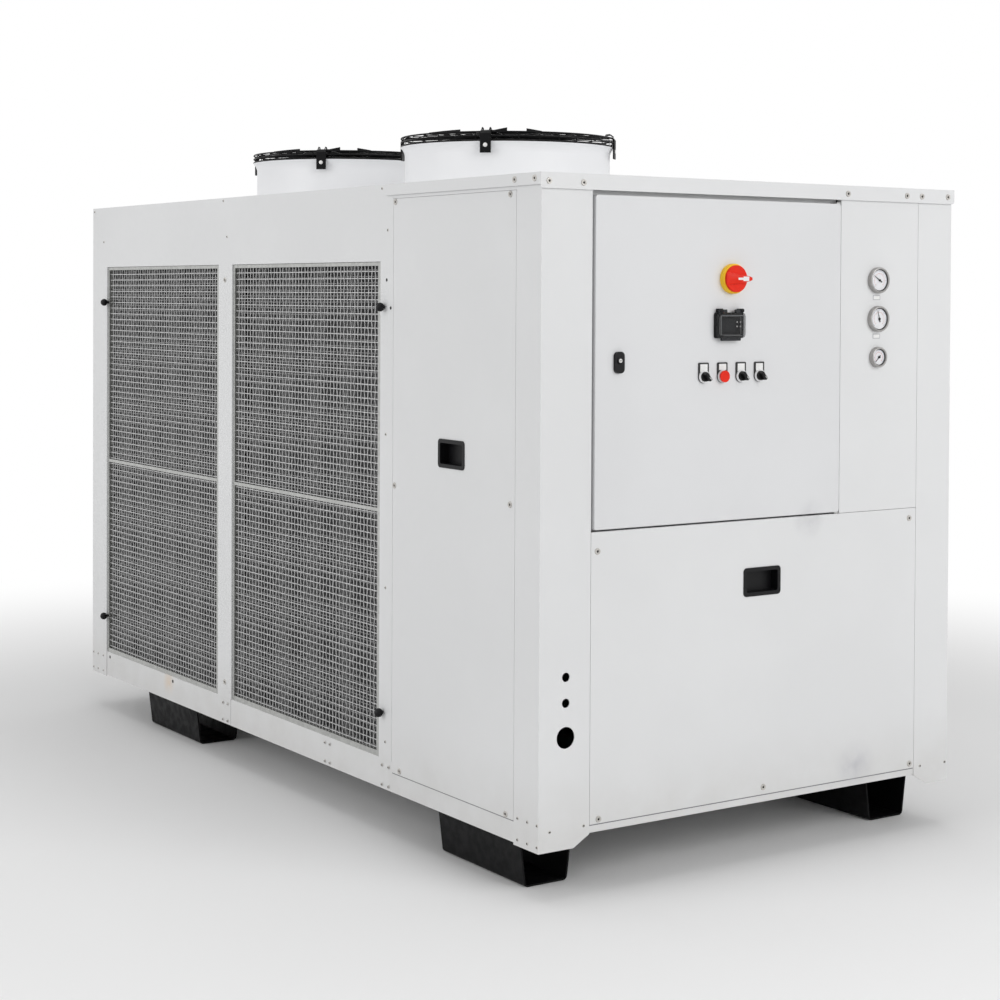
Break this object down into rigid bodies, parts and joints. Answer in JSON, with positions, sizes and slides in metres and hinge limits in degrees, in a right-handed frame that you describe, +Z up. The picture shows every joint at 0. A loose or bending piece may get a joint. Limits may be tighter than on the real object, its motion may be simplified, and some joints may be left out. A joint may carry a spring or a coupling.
{
  "type": "liquid chiller",
  "caption": "Long sheet-metal air-cooled liquid chiller with mesh-covered coils along both sides, two roof fans under wire guards, an electrical door and open-ended feet.",
  "frame": {"origin": "on the ground under the middle of the whole chiller's box", "axes": "+Z up, +Y from the electrical door to the rear, +X to the right seen from the door"},
  "size_m": [1.2958, 2.5574, 1.764],
  "materials": {
    "bezel_steel": "grey steel bezel",
    "black_paint": "black painted steel, matt",
    "black_plastic": "black moulded plastic",
    "coil_fins": "aluminium fins",
    "controller_grey": "dark grey controller housing",
    "galvanised": "galvanised steel sheet",
    "guard_black": "black coated wire and flat steel, semi-gloss",
    "legend_plate": "black legend plates with rings",
    "mesh_wire": "crimped galvanised wire",
    "motor_grey": "black painted motor",
    "smoked_cover": "smoked clear plastic cover",
    "switch_red": "red plastic handle",
    "switch_yellow": "yellow plastic plate",
    "white_powder_coat": "fine white powder coat, satin"
  },
  "bodies": {
    "cabinet": {"base_frame": "white_powder_coat", "bulkhead": "white_powder_coat", "coil_left": "coil_fins", "coil_right": "coil_fins", "door_hinges": "galvanised", "electrical_box": "white_powder_coat", "fan_cowl_front": "white_powder_coat", "fan_cowl_rear": "white_powder_coat", "fan_deck": "white_powder_coat", "fan_guard_front": "guard_black", "fan_guard_rear": "guard_black", "fan_motor_front": "motor_grey", "fan_motor_rear": "motor_grey", "filter_frames_left": "galvanised", "filter_frames_right": "galvanised", "filter_knobs": "black_plastic", "filter_mesh_left": "mesh_wire", "filter_mesh_right": "mesh_wire", "foot_front_left": "black_paint", "foot_front_right": "black_paint", "foot_rear_left": "black_paint", "foot_rear_right": "black_paint", "front_handle": "black_plastic", "gauge_lower": "bezel_steel", "gauge_middle": "bezel_steel", "gauge_panel": "white_powder_coat", "gauge_upper": "bezel_steel", "header_left": "white_powder_coat", "header_rear": "white_powder_coat", "header_right": "white_powder_coat", "lower_front_panel": "white_powder_coat", "mounting_plate": "galvanised", "post_front_left": "white_powder_coat", "post_front_right": "white_powder_coat", "post_rear_left": "white_powder_coat", "post_rear_right": "white_powder_coat", "rear_panel": "white_powder_coat", "side_handle_left": "black_plastic", "side_handle_right": "black_plastic", "side_panel_left": "white_powder_coat", "side_panel_right": "white_powder_coat", "top_cover": "white_powder_coat", "uprights_left": "white_powder_coat", "uprights_right": "white_powder_coat"},
    "electrical_door": {"electrical_door": "white_powder_coat", "main_switch_base": "switch_yellow", "controller": "controller_grey", "operator_plates": "legend_plate", "door_lock": "black_plastic"},
    "main_switch_handle": {"main_switch_handle": "switch_red"},
    "controller_cover": {"controller_cover": "smoked_cover"},
    "selector_1": {"selector_1": "black_plastic"},
    "selector_2": {"selector_2": "black_plastic"},
    "selector_3": {"selector_3": "black_plastic"},
    "push_button": {"push_button": "switch_red"},
    "fan_rotor_front": {"fan_rotor_front": "black_paint"},
    "fan_rotor_rear": {"fan_rotor_rear": "black_paint"}
  },
  "joints": [
    {"name": "door_hinge", "type": "hinge", "parent": "cabinet", "child": "electrical_door", "pos_m": [0.24, -1.23135, 1.1735], "axis": [0, 0, 1], "range_deg": [0, 110]},
    {"name": "main_switch_turn", "type": "hinge", "parent": "electrical_door", "child": "main_switch_handle", "pos_m": [-0.095, -1.25165, 1.361], "axis": [0, -1, 0], "range_deg": [0, 90]},
    {"name": "controller_cover_hinge", "type": "hinge", "parent": "electrical_door", "child": "controller_cover", "pos_m": [-0.106, -1.25085, 1.288], "axis": [-1, 0, 0], "range_deg": [0, 110]},
    {"name": "selector_1_turn", "type": "hinge", "parent": "electrical_door", "child": "selector_1", "pos_m": [-0.1775, -1.24015, 1.137], "axis": [0, 1, 0], "range_deg": [0, 80]},
    {"name": "selector_2_turn", "type": "hinge", "parent": "electrical_door", "child": "selector_2", "pos_m": [-0.0665, -1.24015, 1.137], "axis": [0, 1, 0], "range_deg": [0, 80]},
    {"name": "selector_3_turn", "type": "hinge", "parent": "electrical_door", "child": "selector_3", "pos_m": [-0.011, -1.24015, 1.137], "axis": [0, 1, 0], "range_deg": [0, 80]},
    {"name": "button_press", "type": "slide", "parent": "electrical_door", "child": "push_button", "axis": [0, 1, 0], "range_m": [0, 0.003], "stiffness_N_per_m": 400, "springref_m": -0.002},
    {"name": "fan_front_spin", "type": "hinge", "parent": "cabinet", "child": "fan_rotor_front", "pos_m": [0, -0.16635, 1.665], "axis": [0, 0, 1], "continuous": true},
    {"name": "fan_rear_spin", "type": "hinge", "parent": "cabinet", "child": "fan_rotor_rear", "pos_m": [0, 0.73165, 1.665], "axis": [0, 0, 1], "continuous": true}
  ]
}
